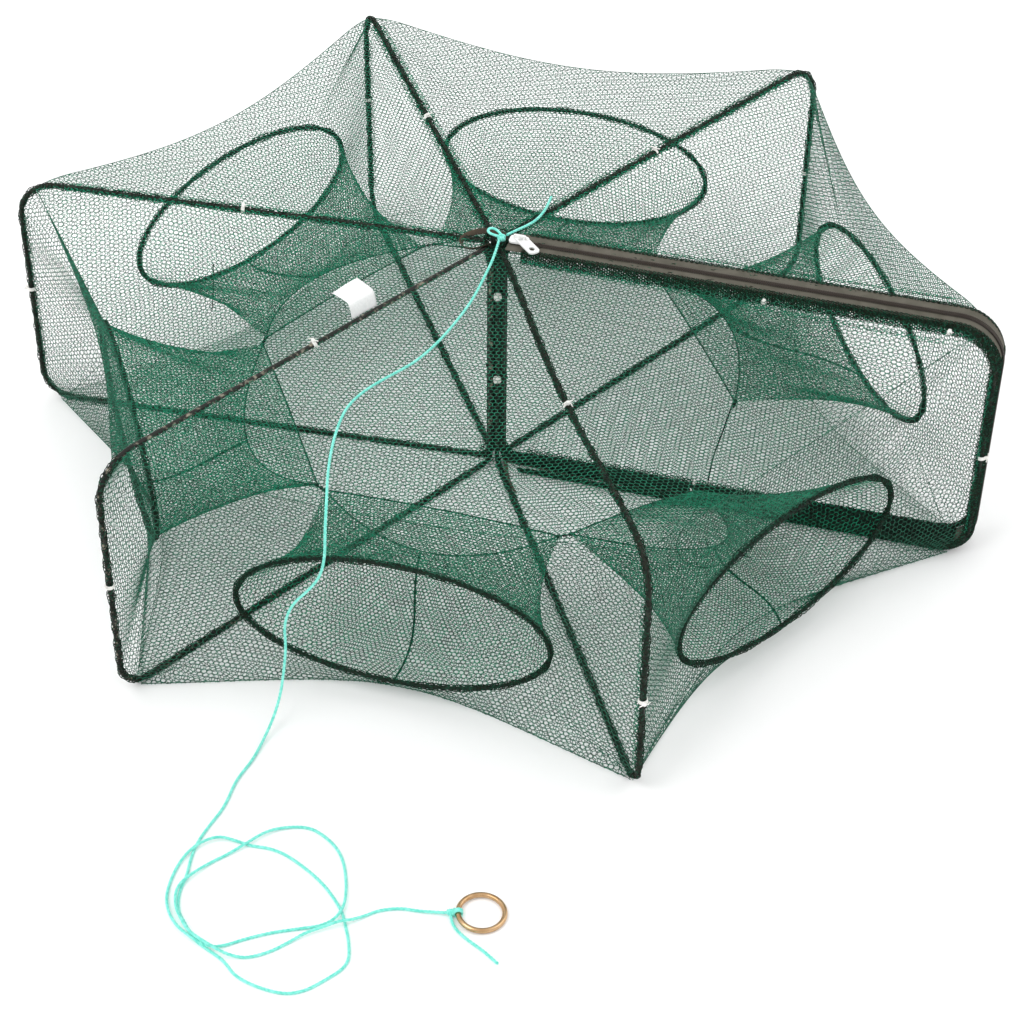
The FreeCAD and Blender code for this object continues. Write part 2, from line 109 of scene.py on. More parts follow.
HUB_TIE_STEP = 4.0
SNUG_TIE = 1.7
LOOSE_TIE = 3.4
ROOF_MID = 336.0
ROOF_CORNER = 404.0
ROOF_DIP = 25.0
FLOOR_MID = 302.0
FLOOR_CORNER = 408.0
ZIP_START = 11.1
TAPE_RISE = 2.75
TAPE_EDGES = (0.3, 13.0)
TAPE_HALF_THICK = 0.35
COIL_PITCH = 1.5
COIL_WIRE = 0.34

# Label: where it starts along page e, its width, and its section as (aside, up) points
LABEL_START = 127.0
LABEL_WIDTH = 27.0
LABEL_FOLD = [
    (3.4, 230.6), (4.2, 236.0), (5.8, 242.0), (7.6, 244.4), (11.5, 245.0), (18.0, 245.6), (25.5, 246.2)
]
CLOTH_THICKNESS = 0.3

# Loose ends of the zip tape: name, route, width and body
TAPE_TAILS = (
    (
        "tape_tail_top",
        [
            (9, 4, 233), (0, 7, 235), (-14, 8, 234), (-25, 2, 232), (-29, -8, 231), (-24, -17, 231),
            (-13, -18, 232), (-4, -9, 233),
        ],
        5.0,
        "page_e",
    ),
    (
        "tape_tail_foot",
        [(8.5, -3, 6), (12, -8, 6), (16, -20, 4.5), (22, -32, 3.6), (31, -44, 3.1)],
        6.0,
        "page_g",
    ),
)

# Netting
CELL = 4.4
THREAD = 0.31
FUNNEL_THREAD = 0.35
FUNNEL_CELLS = 138
SLIT_OPEN = 3.0
LIP_AT = {
    "ab": (211.0, 110.0),
    "bc": (220.0, 88.0),
    "cd": (225.0, 87.0),
    "de": (220.0, 65.0),
    "ef": (218.0, 72.0),
    "fg": (262.0, 62.0),
}
HEM_CELL = 3.4
HEM_RADIUS = 2.6
HEM_THREAD = 0.4

# Haul line: thickness and route points as in the CAD model, lengths in metres
LINE = 2.4
LINE_ROUTE = [
    (4, -6, 236), (6, -26, 234), (5, -52, 230.5), (4, -82, 228), (-1, -112, 225.5),
    (-8, -142, 223.5), (-17, -170, 223.5), (-31, -191, 222.5), (-44, -212, 221.5),
    (-51, -236, 221.5), (-50, -262, 220), (-46, -288, 218), (-40, -313, 216), (-33, -336, 212),
    (-29, -353, 198), (-29, -356, 175), (-34, -355, 153), (-46, -352, 133), (-60, -351, 115),
    (-67, -352, 94), (-66, -353, 72), (-68, -356, 48), (-70, -361, 27), (-73, -371, 10),
    (-75, -389, 2.6), (-76, -412, 1.3),
]
FLOOR_ROUTE = [
    (-81, -435, 1.3), (-79, -463, 1.3), (-84, -487, 1.3), (-86, -506, 1.3), (-84, -522, 1.3),
    (-81, -537, 1.3), (-81, -552, 1.3), (-75, -569, 1.3), (-66, -578, 1.3), (-54, -591, 1.3),
    (-40, -597, 1.3), (-26, -603, 1.3), (-14, -614, 1.3), (7, -619, 1.3), (26, -619, 1.3),
    (38, -612, 1.3), (47, -601, 1.3), (60, -582, 1.3), (54, -563, 1.3), (45, -546, 1.3),
    (38, -534, 1.3), (16, -513, 1.3), (-16, -496, 1.3), (-33, -493, 1.3), (-46, -495, 1.3),
    (-60, -493, 1.5), (-73, -494, 3.7), (-86, -508, 3.9), (-92, -527, 1.3), (-90, -555, 1.3),
    (-81, -573, 3.4), (-70, -584, 3.7), (-58, -590, 3.5), (-40, -596, 3.5), (-30, -589, 1.3),
    (-22, -582, 1.3), (-5, -570, 1.3), (15, -560, 1.3), (30, -553, 1.6), (38, -545, 3.6),
    (40, -531, 3.6), (34, -510, 1.3), (25, -490, 1.3), (15, -478, 1.3), (1, -469, 1.3),
    (-12, -465, 1.3), (-28, -470, 1.5), (-40, -480, 3.6), (-50, -496, 3.8), (-60, -508, 1.5),
    (-68, -517, 1.3), (-77, -533, 3.6), (-84, -549, 3.8), (-78, -567, 3.9), (-68, -579, 6.0),
    (-59, -588, 6.0), (-44, -594, 5.9), (-28, -598, 3.6), (-16, -597, 1.3), (-7, -593, 1.3),
    (3, -585, 1.3), (12, -574, 1.3), (21, -564, 3.5), (31, -556, 3.6), (41, -549, 5.9),
    (50, -543, 3.7), (57, -535, 1.3), (64, -528, 1.3), (79, -521, 1.3), (94, -520.5, 1.5),
    (114, -517, 2.8),
]
HUB_TAIL_ROUTE = [
    (8, 3, 236.5), (14, 13, 236.2), (20, 22, 235.8), (25, 33, 235.2), (27.5, 46, 234.7),
    (28, 60, 234.0), (27, 75, 232.8),
]
RING_TAIL_ROUTE = [
    (116, -518, 3), (119, -525, 1.8), (127, -532, 1.3), (138, -538, 1.3), (149, -543, 1.3),
    (161, -551, 1.3),
]


# Camera
def make_camera():
    data = bpy.data.cameras.new("camera")
    camera = bpy.data.objects.new("camera", data)
    scene.collection.objects.link(camera)
    data.lens = 86.8
    data.sensor_width = 36.0
    data.clip_start = 0.05
    data.clip_end = 30.0
    camera.location = (0.4688, -1.6436, 1.3773)
    aim = Vector((0.0743, -0.2115, 0.126)) - camera.location
    turn = aim.to_track_quat("-Z", "Y").to_matrix().to_4x4()
    roll = Matrix.Rotation(math.radians(0.642), 4, Vector((0, 0, 1)))
    camera.matrix_world = Matrix.Translation(camera.location) @ turn @ roll
    scene.camera = camera


make_camera()


# Mesh building
def build(name, points, faces, materials, shades=None, smooth=False):
    """A mesh object from points in millimetres and faces that all have the same number of corners."""
    count, corners = faces.shape
    mesh = bpy.data.meshes.new(name)
    mesh.vertices.add(len(points))
    mesh.vertices.foreach_set("co", (np.asarray(points) * MM).astype(np.float32).ravel())
    mesh.loops.add(count * corners)
    mesh.loops.foreach_set("vertex_index", faces.astype(np.int32).ravel())
    mesh.polygons.add(count)
    mesh.polygons.foreach_set("loop_start", np.arange(0, count * corners, corners, dtype=np.int32))
    if shades is not None:
        mesh.polygons.foreach_set("material_index", np.asarray(shades, dtype=np.int32))
    if smooth:
        mesh.polygons.foreach_set("use_smooth", np.ones(count, dtype=bool))
    mesh.update(calc_edges=True)
    for material in materials:
        mesh.materials.append(material)
    piece = bpy.data.objects.new(name, mesh)
    scene.collection.objects.link(piece)
    return piece


def norm(v):
    return v / np.maximum(np.linalg.norm(v, axis=-1, keepdims=True), 1e-12)


def threads(starts, ends, radius, sides=3):
    """Open prisms along straight bits of thread."""
    along = norm(ends - starts)
    helper = np.where(np.abs(along[:, 2:3]) > 0.9, [[1.0, 0, 0]], [[0, 0, 1.0]])
    u = norm(np.cross(along, helper))
    v = np.cross(along, u)
    turn = np.arange(sides) * 2 * math.pi / sides
    ring = np.cos(turn)[None, :, None] * u[:, None] + np.sin(turn)[None, :, None] * v[:, None]
    ring = ring * np.reshape(radius, (-1, 1, 1))
    points = np.stack([starts[:, None] + ring, ends[:, None] + ring], axis=1).reshape(-1, 3)
    base = np.arange(len(starts))[:, None, None] * 2 * sides
    k = np.arange(sides)
    quad = np.stack([k, (k + 1) % sides, sides + (k + 1) % sides, sides + k], axis=1)
    return points, (base + quad[None]).reshape(-1, 4)


def frames(line, closed=False):
    """Tangents and two normals along a line, without twist."""
    if closed:
        tangent = norm(np.roll(line, -1, 0) - np.roll(line, 1, 0))
    else:
        tangent = norm(np.gradient(line, axis=0))
    start = np.array([0, 0, 1.0]) if abs(tangent[0][2]) < 0.8 else np.array([1.0, 0, 0])
    u = [norm(np.cross(tangent[0], start))]
    for t in tangent[1:]:
        u.append(norm(u[-1] - t * (u[-1] @ t)))
    u = np.array(u)
    return tangent, u, np.cross(tangent, u)


def tube(line, radius, sides=8, closed=False, caps=True):
    """A round tube along a line, with quad faces, closed at both ends unless it is a ring."""
    line = np.asarray(line, float)
    _, u, v = frames(line, closed)
    turn = np.arange(sides) * 2 * math.pi / sides
    radius = np.broadcast_to(radius, (len(line),))
    ring = np.cos(turn)[None, :, None] * u[:, None] + np.sin(turn)[None, :, None] * v[:, None]
    points = (line[:, None] + ring * radius[:, None, None]).reshape(-1, 3)
    rows = len(line) if closed else len(line) - 1
    i, k = np.meshgrid(np.arange(rows), np.arange(sides), indexing="ij")
    j = (i + 1) % len(line)
    m = (k + 1) % sides
    faces = np.stack([i * sides + k, i * sides + m, j * sides + m, j * sides + k], axis=-1).reshape(-1, 4)
    if caps and not closed:
        ends = []
        for row, flip in ((0, True), (len(line) - 1, False)):
            centre = len(points)
            points = np.vstack([points, line[row]])
            ks = np.arange(0, sides, 2)
            rim = [row * sides + (ks + step) % sides for step in range(3)]
            cap = np.stack(rim + [np.full(len(ks), centre)], axis=1)
            ends.append(cap[:, ::-1] if flip else cap)
        faces = np.vstack([faces] + ends)
    return points, faces


def merge(parts):
    """Several (points, faces) joined into one."""
    points, faces, shift = [], [], 0
    for p, f in parts:
        points.append(p)
        faces.append(f + shift)
        shift += len(p)
    return np.vstack(points), np.vstack(faces)


def grid_faces(rows, columns, wrap=False):
    """Quads between the points of a grid. wrap joins the last column to the first."""
    i, k = np.meshgrid(np.arange(rows - 1), np.arange(columns if wrap else columns - 1), indexing="ij")
    j = (k + 1) % columns
    near, far = i * columns, (i + 1) * columns
    return np.stack([near + k, near + j, far + j, far + k], -1).reshape(-1, 4)


def unit(degrees):
    a = math.radians(degrees)
    return np.array([math.cos(a), math.sin(a), 0.0])


def bar(page):
    if page == "a":
        return np.array([ZIP_BAR[0], ZIP_BAR[1], 0.0])
    if page == "g":
        return np.array([ZIP_BAR[0], -ZIP_BAR[1], 0.0])
    return unit(PAGES[page]) * HUB_RING


TAPE_SIDE = norm(np.array([0, -1.0, -0.25]))
HUB_FRONT = unit(285.0)


def gap(sector):
    return (PAGES[sector[1]] - PAGES[sector[0]]) % 360


def half_gap(sector):
    return math.radians(gap(sector) / 2)


def middle(sector):
    return PAGES[sector[0]] + gap(sector) / 2


def page_length(page):
    """How far a page's outer upright stands from its bar at the hub."""
    return REACH - float(np.linalg.norm(bar(page)))


def lowest(page):
    return ZIP_BOTTOM_Z if page in "ag" else BOTTOM_Z


def on_page(page, along, z):
    return bar(page) + unit(PAGES[page]) * along + UP * z


def beside(points, page):
    """Signed distance from a page's plane, positive anticlockwise of it."""
    out, start = unit(PAGES[page]), bar(page)
    return out[0] * (points[..., 1] - start[1]) - out[1] * (points[..., 0] - start[0])


# Materials
def principled(name, colour, roughness=0.6, **sockets):
    material = bpy.data.materials.new(name)
    material.use_nodes = True
    shader = material.node_tree.nodes["Principled BSDF"]
    shader.inputs["Base Color"].default_value = (*colour, 1)
    shader.inputs["Roughness"].default_value = roughness
    for socket, value in sockets.items():
        shader.inputs[socket.replace("_", " ")].default_value = value
    return material


def mottled(name, low, high, scale, roughness=0.5, bump=0.1, bump_scale=None, span=(0.35, 0.65), **sockets):
    """A material whose colour wanders between two tones, with a fine bump."""
    material = principled(name, low, roughness, **sockets)
    tree = material.node_tree
    shader = tree.nodes["Principled BSDF"]
    place = tree.nodes.new("ShaderNodeTexCoord")
    noise = tree.nodes.new("ShaderNodeTexNoise")
    noise.inputs["Scale"].default_value = scale
    noise.inputs["Detail"].default_value = 4
    ramp = tree.nodes.new("ShaderNodeValToRGB")
    ramp.color_ramp.elements[0].position = span[0]
    ramp.color_ramp.elements[0].color = (*low, 1)
    ramp.color_ramp.elements[1].position = span[1]
    ramp.color_ramp.elements[1].color = (*high, 1)
    fine = tree.nodes.new("ShaderNodeTexNoise")
    fine.inputs["Scale"].default_value = bump_scale or scale * 6
    height = tree.nodes.new("ShaderNodeBump")
    height.inputs["Strength"].default_value = bump
    height.inputs["Distance"].default_value = 0.0005
    link = tree.links.new
    link(place.outputs["Object"], noise.inputs["Vector"])
    link(place.outputs["Object"], fine.inputs["Vector"])
    link(noise.outputs["Fac"], ramp.inputs["Fac"])
    link(ramp.outputs["Color"], shader.inputs["Base Color"])
    link(fine.outputs["Fac"], height.inputs["Height"])
    link(height.outputs["Normal"], shader.inputs["Normal"])
    return material


def shades_of(name, colour, spread, count=4, roughness=0.55, **sockets):
    """Several plain tones of one thread."""
    made = []
    for i in range(count):
        k = 1 + spread * (2 * i / (count - 1) - 1)
        made.append(principled(f"{name}_{i}", [min(1, c * k) for c in colour], roughness, **sockets))
    return made


net_tones = shades_of("net_thread", (0.014, 0.15, 0.085), 0.5, Specular_IOR_Level=0.2)
wall_tones = shades_of("wall_thread", (0.02, 0.118, 0.071), 0.5, Specular_IOR_Level=0.2)
funnel_tones = shades_of("funnel_thread", (0.007, 0.165, 0.088), 0.75, Specular_IOR_Level=0.2)
hem_colours = ((0.002, 0.009, 0.005), (0.004, 0.028, 0.015), (0.012, 0.015, 0.007), (0.01, 0.07, 0.038))
hem_tones = [
    principled(f"hem_thread_{i}", colour, 0.6, Specular_IOR_Level=0.15)
    for i, colour in enumerate(hem_colours)
]
# Near-black tones of the green net: painted shade on its folds along the zip's foot.
foot_shade_fold_tones = shades_of("foot_fold_painted_shade", (0.002, 0.012, 0.007), 0.6, Specular_IOR_Level=0.15)
page_paint = mottled(
    "page_wire", (0.003, 0.007, 0.004), (0.02, 0.024, 0.016), 150, 0.45, 0.2, 900, Specular_IOR_Level=0.25
)
# Page e's wire: dark, with beige flecks that are painted glints of light on it.
wire_e_glint_paint = mottled(
    "page_e_wire_glints", (0.006, 0.006, 0.004), (0.32, 0.29, 0.22), 210, 0.4, 0.2, 900, (0.55, 0.72),
    Specular_IOR_Level=0.3,
)
hoop_paint = mottled(
    "hoop_wire", (0.003, 0.012, 0.007), (0.006, 0.028, 0.016), 60, 0.45, 0.15, Specular_IOR_Level=0.25
)
white_cord = mottled("white_cord", (0.78, 0.77, 0.73), (0.92, 0.91, 0.88), 300, 0.7, 0.5, 3000)
black_thread = principled("black_thread", (0.003, 0.007, 0.005), 0.6, Specular_IOR_Level=0.15)
seam_thread = principled("seam_thread", (0.005, 0.045, 0.025), 0.6, Specular_IOR_Level=0.15)
tape_cloth = mottled(
    "zip_tape", (0.085, 0.08, 0.062), (0.115, 0.107, 0.086), 90, 0.8, 0.4, 2500, Specular_IOR_Level=0.2
)
tail_cloth = mottled("tape_tail", (0.035, 0.024, 0.014), (0.07, 0.05, 0.03), 200, 0.8, 0.4, 2500)
# Two tones of the coil's brown: the lighter is painted light on the outer half of each turn, the darker is
# painted shade on the inner half; the stops take the darker.
coil_lit_and_shaded_tones = shades_of("zip_coil", (0.03, 0.018, 0.012), 0.3, 2, 0.4)
slider_paint = mottled("slider_enamel", (0.8, 0.8, 0.79), (0.88, 0.88, 0.87), 90, 0.28, 0.05)
ribbon = mottled(
    "label_ribbon", (0.86, 0.86, 0.86), (0.93, 0.93, 0.93), 500, 0.45, 0.4, 3500, Sheen_Weight=0.4
)
line_fibre = mottled(
    "haul_line", (0.12, 0.7, 0.58), (0.3, 0.9, 0.78), 400, 0.42, 0.5, 2600, Sheen_Weight=0.2
)
ring_metal = mottled("ring_brass", (0.45, 0.27, 0.13), (0.62, 0.42, 0.24), 120, 0.22, 0.08, Metallic=1.0)

for node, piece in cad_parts.items():
    paint = {"frame": page_paint, "hoop": hoop_paint}.get(node.split("_")[0])
    if node == "frame_e":
        paint = wire_e_glint_paint
    if node in ("zip_slider", "zip_pull_tab"):
        paint = slider_paint
    if node == "zip_stops":
        paint = coil_lit_and_shaded_tones[0]
    if node == "haul_ring":
        paint = ring_metal
    if paint:
        piece.data.materials.clear()
        piece.data.materials.append(paint)
        piece.data.polygons.foreach_set("material_index", [0] * len(piece.data.polygons))
        for face in piece.data.polygons:
            face.use_smooth = True


# Haul line
def route_line(name, route):
    """The points down the middle of a cord: the NURBS spline that has the route as its control points."""
    curve = bpy.data.curves.new(name, "CURVE")
    curve.dimensions = "3D"
    curve.resolution_u = 10
    spline = curve.splines.new("NURBS")
    spline.points.add(len(route) - 1)
    for point, place in zip(spline.points, route):
        point.co = (*[c * MM for c in place], 1)
    spline.order_u = 3
    spline.use_endpoint_u = True
    bare = bpy.data.objects.new(name, curve)
    mesh = bpy.data.meshes.new_from_object(bare)
    line = np.array([v.co for v in mesh.vertices], float) / MM
    bpy.data.meshes.remove(mesh)
    bpy.data.objects.remove(bare)
    bpy.data.curves.remove(curve)
    return line


def even(line, step):
    """The line again, with points a step apart."""
    along = np.concatenate([[0], np.cumsum(np.linalg.norm(np.diff(line, axis=0), axis=1))])
    at = np.linspace(0, along[-1], max(2, int(round(along[-1] / step)) + 1))
    return np.stack([np.interp(at, along, line[:, k]) for k in range(3)], axis=1), at


def rope(name, line, diameter, material, pitch=9.0, strands=3, sides=6):
    """A twisted cord of several strands along a line."""
    line, at = even(line, 1.0)
    _, u, v = frames(line)
    made = []
    for k in range(strands):
        turn = 2 * math.pi * (at / pitch + k / strands)
        away = np.cos(turn)[:, None] * u + np.sin(turn)[:, None] * v
        made.append(tube(line + away * (0.283 * diameter), 0.245 * diameter, sides))
    points, faces = merge(made)
    points[:, 2] = np.maximum(points[:, 2], 0.05)
    return build(name, points, faces, [material], smooth=True), line


def make_cords():
    full = route_line("whole", LINE_ROUTE + FLOOR_ROUTE)
    tail_line = route_line("tail", HUB_TAIL_ROUTE)
    ring_line = route_line("ring", RING_TAIL_ROUTE)
    line, path = rope("haul_line_rope", full, LINE, line_fibre)
    hub_tail, hub_path = rope("hub_tail_rope", tail_line, LINE, line_fibre)
    ring_tail, ring_path = rope("ring_tail_rope", ring_line, LINE, line_fibre)
    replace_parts(line, "haul_line", "floor_loops", "line_end")
    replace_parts(hub_tail, "hub_tail")
    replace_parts(ring_tail, "ring_tail")
    hub = hub_knot()
    ring = ring_knot()
    for piece in (line, hub_tail, ring_tail, hub, ring):
        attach(piece, "page_e")


def helix(centre, axis, radius, width, turns, step=10, phase=0.0):
    """Points of a coil round an axis."""
    axis = norm(np.asarray(axis, float))
    side = norm(np.cross(axis, [0.3, 0.5, 0.81]))
    up = np.cross(axis, side)
    t = np.linspace(0, 1, int(turns * step) + 1)
    a = 2 * math.pi * turns * t + phase
    around = np.cos(a)[:, None] * side + np.sin(a)[:, None] * up
    return np.asarray(centre) + axis * ((t - 0.5) * width)[:, None] + radius * around


def hub_knot():
    """A round knot of the haul line on top of the hub, with a loop standing over it."""
    centre = np.array([5.0, -2.0, 236.4])
    parts = [tube(helix(centre, (1, 0.4, 0.2), 2.3, 5.0, 2.6, 14), 1.15, 8)]
    parts.append(tube(helix(centre + [0, 0, 0.4], (-0.3, 1, 0.1), 2.6, 3.0, 1.4, 14), 1.15, 8))
    loop = centre + [(0, 1, 1.5), (-5, 6, 3.2), (-12, 7, 3.4), (-13, 2, 2.6), (-7, -1, 2.0), (0, -1, 1.6)]
    parts.append(tube(even(route_line("loop", loop), 1.2)[0], 1.15, 8))
    points, faces = merge(parts)
    knot = build("hub_knot_wraps", points, faces, [line_fibre], smooth=True)
    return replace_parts(knot, "hub_knot")


def ring_knot():
    """Turns of the line round the ring, and the knot outside it."""
    out = unit(197.0)
    place = np.array([137.0, -510.0, 3.3]) + out * 17.0
    along = np.array([-out[1], out[0], 0])
    parts = [tube(helix(place, along, 2.95, 4.4, 2.5, 16), 1.0, 8)]
    parts.append(tube(helix(place + out * 5.0, out, 1.7, 3.6, 2.2, 14), 1.1, 8))
    parts.append(tube(helix(place + out * 5.6, along, 1.7, 2.6, 1.6, 14), 1.1, 8))
    points, faces = merge(parts)
    points[:, 2] = np.maximum(points[:, 2], 0.05)
    knot = build("ring_knot_wraps", points, faces, [line_fibre], smooth=True)
    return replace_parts(knot, "ring_knot")


make_cords()


# Netting
def honeycomb(x_range, y_range, cell=CELL, turn=0.0, ripple=0.0):
    """Ends of the threads of a plane net that covers a box, in the plane's own coordinates."""
    (x0, x1), (y0, y1) = x_range, y_range
    centre = np.array([(x0 + x1) / 2, (y0 + y1) / 2])
    reach = math.hypot(x1 - x0, y1 - y0) / 2 + 3 * cell
    a = cell / math.sqrt(3)
    ni, nj = int(reach / cell) + 2, int(reach / (1.5 * a)) + 2
    j, i = np.meshgrid(np.arange(-nj, nj + 1), np.arange(-ni, ni + 1), indexing="ij")
    xa = i * cell + (j % 2) * cell / 2
    ya = j * 1.5 * a
    lower = np.stack([xa, ya], -1).reshape(-1, 2)
    upper = lower + [0, a]
    bits = np.concatenate([
        np.stack([lower, upper], 1),
        np.stack([upper, lower + [cell / 2, 1.5 * a]], 1),
        np.stack([upper, lower + [-cell / 2, 1.5 * a]], 1),
    ])
    c, s = math.cos(turn), math.sin(turn)
    bits = bits @ np.array([[c, s], [-s, c]]) + centre
    x, y = bits[..., 0], bits[..., 1]
    keep = ((x > x0 - cell) & (x < x1 + cell) & (y > y0 - cell) & (y < y1 + cell)).all(1)
    bits = bits[keep]
    if ripple:
        x, y = bits[..., 0], bits[..., 1]
        dx = np.sin(x / 31 + y / 47 + turn * 9) + 0.6 * np.sin(x / 13 - y / 19)
        dx += 0.35 * np.sin(x / 6.1 + y / 7.7)
        dy = np.sin(y / 37 - x / 53 + turn * 5) + 0.6 * np.sin(y / 11 + x / 17)
        dy += 0.35 * np.sin(y / 5.3 - x / 8.3)
        bits = bits + ripple * np.stack([dx, dy], -1)
    return bits


def clipped(bits, inside):
    """Keeps the threads inside a region, and cuts those that cross its edge.

    inside gives a signed value, positive within.
    """
    d = inside(bits)
    both = (d > 0).all(1)
    cross = (d > 0).any(1) & ~both
    cut = bits[cross].copy()
    dc = d[cross]
    share = dc[:, 0] / (dc[:, 0] - dc[:, 1])
    edge = cut[:, 0] + (cut[:, 1] - cut[:, 0]) * share[:, None]
    first_in = dc[:, 0] > 0
    cut[first_in, 1] = edge[first_in]
    cut[~first_in, 0] = edge[~first_in]
    return np.concatenate([bits[both], cut])


def local(sector):
    out = unit(middle(sector))
    return out, np.array([-out[1], out[0], 0.0])


def lift(sector, x, y, z):
    """A sector's own coordinates (outward, sideways, up) in the row frame."""
    out, side = local(sector)
    return x[..., None] * out + y[..., None] * side + z[..., None] * UP


def page_top(r):
    """Height of a page's top wire at a distance from the hub."""
    drop = np.sqrt(np.maximum(TOP_CORNER**2 - np.maximum(r - (REACH - TOP_CORNER), 0) ** 2, 0))
    return TOP_Z - TOP_CORNER + drop


def arm_drop(page, along):
    """How far a bent top arm lies below its ends."""
    share = np.clip((along - HUB_CORNER) / (page_length(page) - TOP_CORNER - HUB_CORNER), 0, 1)
    return ARM_SAG.get(page, 0.0) * (1 - np.cos(2 * math.pi * share)) / 2


def edge_radius(angle, half, mid, corner):
    """Distance of a roof's or floor's outer edge from the hub, by angle from the middle of its sector."""
    chord = corner * math.cos(half) / np.cos(angle)
    dip = corner * math.cos(half) - mid
    return chord - dip * (1 - (angle / half) ** 2)


def roof_height(sector, x, y):
    half = half_gap(sector)
    angle = np.arctan2(y, x)
    r = np.hypot(x, y)
    share = np.clip(r / edge_radius(np.clip(angle, -half, half), half, ROOF_MID, ROOF_CORNER), 0, 1.05)
    sag = ROOF_DIP * (1 - np.clip(angle / half, -1, 1) ** 2) * share**1.6
    near = np.clip(0.5 + 0.5 * angle / half, 0, 1)
    bent = arm_drop(sector[1], r) * near**1.5 + arm_drop(sector[0], r) * (1 - near) ** 1.5
    return page_top(np.minimum(r, REACH)) + 1.0 - sag - bent


def inside_sector(sector, mid, corner, start=9.0):
    half = half_gap(sector)

    def inside(bits):
        x, y = bits[..., 0], bits[..., 1]
        spot = lift(sector, x, y, 0 * x)
        r = np.hypot(x, y)
        angle = np.clip(np.arctan2(y, x), -half, half)
        return np.minimum.reduce([
            beside(spot, sector[0]),
            -beside(spot, sector[1]),
            edge_radius(angle, half, mid, corner) - r,
            r - start,
        ])

    return inside


def weigh(piece):
    """Applies a net's object transform to its mesh."""
    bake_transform(piece)


def net_piece(name, spots, tones, radius=THREAD):
    """A net from the ends of its threads, in tones that are dealt out at random."""
    points, faces = threads(spots[:, 0], spots[:, 1], radius)
    shade = np.repeat(random.integers(0, len(tones), len(spots)), 3)
    piece = build(name, points, faces, tones, shade)
    return piece, points


def sector_cells(sector, turn, mid, corner):
    """Threads of a flat net over a sector, in the sector's own coordinates."""
    wide = REACH * math.sin(half_gap(sector))
    bits = honeycomb((0, REACH), (-wide, wide), turn=turn, ripple=0.35)
    return clipped(bits, inside_sector(sector, mid, corner))


def roof_threads(sector, turn):
    bits = sector_cells(sector, turn, ROOF_MID, ROOF_CORNER)
    x, y = bits[..., 0], bits[..., 1]
    return lift(sector, x, y, roof_height(sector, x, y))


def floor_threads(sector, turn):
    bits = sector_cells(sector, turn, FLOOR_MID, FLOOR_CORNER)
    return lift(sector, bits[..., 0], bits[..., 1], np.full(bits.shape[:2], THREAD + 0.1))


def corner_reach(corner, past):
    """How far out a rounded corner reaches at a height past the start of its curve."""
    return REACH - corner + np.sqrt(np.maximum(corner**2 - past**2, 0))


def wall_edges(sector):
    """The wall's outer edge as (sideways, up, outward) points, anticlockwise seen from outside."""
    half = half_gap(sector)
    angle = np.linspace(-half, half, 60)
    top_r = edge_radius(angle, half, ROOF_MID, ROOF_CORNER)
    top_out, top_side = top_r * np.cos(angle), top_r * np.sin(angle)
    top = np.stack([top_side, roof_height(sector, top_out, top_side), top_out], 1)
    low_r = edge_radius(angle, half, FLOOR_MID, FLOOR_CORNER)
    low = np.stack([low_r * np.sin(angle), np.full(60, 1.0), low_r * np.cos(angle)], 1)
    z = np.linspace(2.5, 215.0, 40)
    r = np.full(40, REACH)
    high = z > TOP_Z - TOP_CORNER
    r[high] = corner_reach(TOP_CORNER, z[high] - TOP_Z + TOP_CORNER)
    low_part = z < BOTTOM_Z + BOTTOM_CORNER
    r[low_part] = corner_reach(BOTTOM_CORNER, z[low_part] - BOTTOM_Z - BOTTOM_CORNER)
    right = np.stack([r * math.sin(half), z, r * math.cos(half)], 1)
    left = right * [-1, 1, 1]
    return np.concatenate([low, right, top[::-1], left[::-1]])


def wall_threads(sector, turn):
    """Threads of a flat net over a side window, bent from the hoop's plane out to the window's edge."""
    at, height = SECTORS[sector]
    rim = wall_edges(sector)
    spoke = np.arctan2((rim[:, 1] - height) / HOOP_HALF[1], rim[:, 0] / HOOP_HALF[0])
    order = np.argsort(spoke)
    spoke, rim = spoke[order], rim[order]
    far = np.hypot(rim[:, 0] / HOOP_HALF[0], (rim[:, 1] - height) / HOOP_HALF[1])
    spoke = np.concatenate([spoke - 2 * math.pi, spoke, spoke + 2 * math.pi])
    far, depth = np.tile(far, 3), np.tile(rim[:, 2], 3)

    def polar(bits):
        u, z = bits[..., 0] / HOOP_HALF[0], (bits[..., 1] - height) / HOOP_HALF[1]
        angle, reach = np.arctan2(z, u), np.hypot(u, z)
        return angle, reach, np.interp(angle, spoke, far)

    def inside(bits):
        _, reach, limit = polar(bits)
        return np.minimum(reach - 1.02, limit - reach)

    wide = REACH * math.sin(half_gap(sector))
    bits = clipped(honeycomb((-wide, wide), (0, 232), turn=turn, ripple=0.35), inside)
    angle, reach, limit = polar(bits)
    share = np.clip((reach - 1) / np.maximum(limit - 1, 1e-3), 0, 1)
    outer = np.interp(angle, spoke, depth)
    x = at * (1 - share) + outer * share
    return lift(sector, x, bits[..., 0], np.maximum(bits[..., 1], 0.6))


HOOP_TURN = np.linspace(0, 2 * math.pi, 721)
HOOP_STEPS = np.hypot(np.diff(HOOP_HALF[0] * np.cos(HOOP_TURN)), np.diff(HOOP_HALF[1] * np.sin(HOOP_TURN)))
HOOP_SHARE = np.concatenate([[0], np.cumsum(HOOP_STEPS)])
HOOP_SHARE /= HOOP_SHARE[-1]


def hoop_centre(sector):
    at, height = SECTORS[sector]
    return unit(middle(sector)) * at + UP * height


def hoop_point(sector, turn):
    _, side = local(sector)
    across = (HOOP_HALF[0] * np.cos(turn))[..., None] * side
    return hoop_centre(sector) + across + (HOOP_HALF[1] * np.sin(turn))[..., None] * UP


def throat_corner(page, side):
    out = unit(PAGES[page])
    return on_page(page, *THROAT_CORNERS[page]) + np.array([-out[1], out[0], 0]) * side * CORNER_GAP


